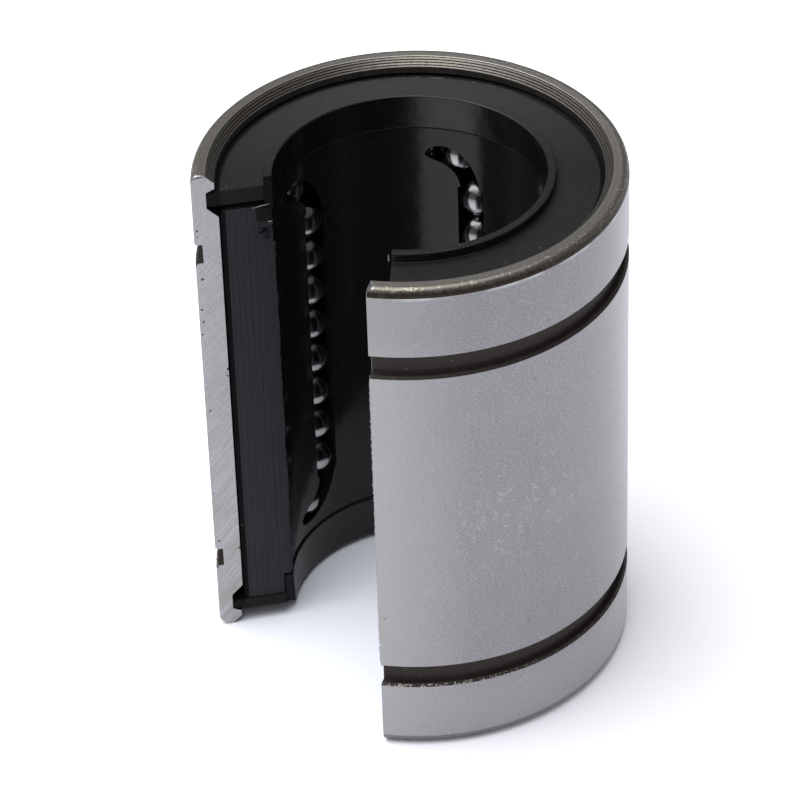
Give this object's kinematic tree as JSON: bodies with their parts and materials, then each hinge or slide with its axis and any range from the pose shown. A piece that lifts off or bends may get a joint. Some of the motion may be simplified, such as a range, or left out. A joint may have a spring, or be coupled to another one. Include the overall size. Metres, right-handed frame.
{
  "type": "open-type linear ball bearing",
  "caption": "Open linear ball bearing: slotted ground steel sleeve, black plastic cage with recirculating balls and rubber end seals, for a shaft carried on a rail.",
  "frame": {"origin": "on the shaft's axis, at mid-length of the sleeve", "axes": "+Z along the shaft's axis, upwards as the bearing stands on its end; the lengthwise opening faces -Y"},
  "size_m": [0.032, 0.0288, 0.042],
  "materials": {
    "ground_steel": "ground, satin",
    "black_plastic": "moulded, semi-gloss",
    "black_rubber": "moulded, matte",
    "polished_balls": "polished"
  },
  "bodies": {
    "bearing": {"outer_sleeve": "ground_steel", "ball_cage": "black_plastic", "upper_end_seal": "black_rubber", "lower_end_seal": "black_rubber"},
    "loaded_row_1": {"loaded_balls_1": "polished_balls"},
    "return_row_1": {"return_balls_1": "polished_balls"},
    "upper_turn_1": {"upper_turn_balls_1": "polished_balls"},
    "lower_turn_1": {"lower_turn_balls_1": "polished_balls"},
    "loaded_row_2": {"loaded_balls_2": "polished_balls"},
    "return_row_2": {"return_balls_2": "polished_balls"},
    "upper_turn_2": {"upper_turn_balls_2": "polished_balls"},
    "lower_turn_2": {"lower_turn_balls_2": "polished_balls"},
    "loaded_row_3": {"loaded_balls_3": "polished_balls"},
    "return_row_3": {"return_balls_3": "polished_balls"},
    "upper_turn_3": {"upper_turn_balls_3": "polished_balls"},
    "lower_turn_3": {"lower_turn_balls_3": "polished_balls"},
    "loaded_row_4": {"loaded_balls_4": "polished_balls"},
    "return_row_4": {"return_balls_4": "polished_balls"},
    "upper_turn_4": {"upper_turn_balls_4": "polished_balls"},
    "lower_turn_4": {"lower_turn_balls_4": "polished_balls"}
  },
  "joints": [
    {"name": "loaded_run_1", "type": "slide", "parent": "bearing", "child": "loaded_row_1", "axis": [0, 0, 1], "range_m": [-0.0016, 0.0016]},
    {"name": "return_run_1", "type": "slide", "parent": "bearing", "child": "return_row_1", "axis": [0, 0, 1], "range_m": [-0.0016, 0.0016]},
    {"name": "upper_turn_run_1", "type": "hinge", "parent": "bearing", "child": "upper_turn_1", "pos_m": [0.01121, -0.00331, 0.01222], "axis": [0.9212, -0.3821, -0.0732], "range_deg": [-29.6, 29.6]},
    {"name": "lower_turn_run_1", "type": "hinge", "parent": "bearing", "child": "lower_turn_1", "pos_m": [0.01121, -0.00331, -0.01222], "axis": [0.9212, -0.3821, 0.0732], "range_deg": [-29.6, 29.6]},
    {"name": "loaded_run_2", "type": "slide", "parent": "bearing", "child": "loaded_row_2", "axis": [0, 0, 1], "range_m": [-0.0016, 0.0016]},
    {"name": "return_run_2", "type": "slide", "parent": "bearing", "child": "return_row_2", "axis": [0, 0, 1], "range_m": [-0.0016, 0.0016]},
    {"name": "upper_turn_run_2", "type": "hinge", "parent": "bearing", "child": "upper_turn_2", "pos_m": [0.00659, 0.00965, 0.01222], "axis": [0.6465, 0.7593, -0.0732], "range_deg": [-29.6, 29.6]},
    {"name": "lower_turn_run_2", "type": "hinge", "parent": "bearing", "child": "lower_turn_2", "pos_m": [0.00659, 0.00965, -0.01222], "axis": [0.6465, 0.7593, 0.0732], "range_deg": [-29.6, 29.6]},
    {"name": "loaded_run_3", "type": "slide", "parent": "bearing", "child": "loaded_row_3", "axis": [0, 0, 1], "range_m": [-0.0016, 0.0016]},
    {"name": "return_run_3", "type": "slide", "parent": "bearing", "child": "return_row_3", "axis": [0, 0, 1], "range_m": [-0.0016, 0.0016]},
    {"name": "upper_turn_run_3", "type": "hinge", "parent": "bearing", "child": "upper_turn_3", "pos_m": [-0.00716, 0.00923, 0.01222], "axis": [-0.5241, 0.8485, -0.0732], "range_deg": [-29.6, 29.6]},
    {"name": "lower_turn_run_3", "type": "hinge", "parent": "bearing", "child": "lower_turn_3", "pos_m": [-0.00716, 0.00923, -0.01222], "axis": [-0.5241, 0.8485, 0.0732], "range_deg": [-29.6, 29.6]},
    {"name": "loaded_run_4", "type": "slide", "parent": "bearing", "child": "loaded_row_4", "axis": [0, 0, 1], "range_m": [-0.0016, 0.0016]},
    {"name": "return_run_4", "type": "slide", "parent": "bearing", "child": "return_row_4", "axis": [0, 0, 1], "range_m": [-0.0016, 0.0016]},
    {"name": "upper_turn_run_4", "type": "hinge", "parent": "bearing", "child": "upper_turn_4", "pos_m": [-0.01099, -0.00398, 0.01222], "axis": [-0.9685, -0.2381, -0.0732], "range_deg": [-29.6, 29.6]},
    {"name": "lower_turn_run_4", "type": "hinge", "parent": "bearing", "child": "lower_turn_4", "pos_m": [-0.01099, -0.00398, -0.01222], "axis": [-0.9685, -0.2381, 0.0732], "range_deg": [-29.6, 29.6]}
  ],
  "couplings": [
    {"joint": "return_run_1", "follows": "loaded_run_1", "ratio": -1},
    {"joint": "upper_turn_run_1", "follows": "loaded_run_1", "rad_per_m": -321.96},
    {"joint": "lower_turn_run_1", "follows": "loaded_run_1", "rad_per_m": -321.96},
    {"joint": "return_run_2", "follows": "loaded_run_2", "ratio": -1},
    {"joint": "upper_turn_run_2", "follows": "loaded_run_2", "rad_per_m": -321.96},
    {"joint": "lower_turn_run_2", "follows": "loaded_run_2", "rad_per_m": -321.96},
    {"joint": "return_run_3", "follows": "loaded_run_3", "ratio": -1},
    {"joint": "upper_turn_run_3", "follows": "loaded_run_3", "rad_per_m": -321.96},
    {"joint": "lower_turn_run_3", "follows": "loaded_run_3", "rad_per_m": -321.96},
    {"joint": "return_run_4", "follows": "loaded_run_4", "ratio": -1},
    {"joint": "upper_turn_run_4", "follows": "loaded_run_4", "rad_per_m": -321.96},
    {"joint": "lower_turn_run_4", "follows": "loaded_run_4", "rad_per_m": -321.96}
  ]
}
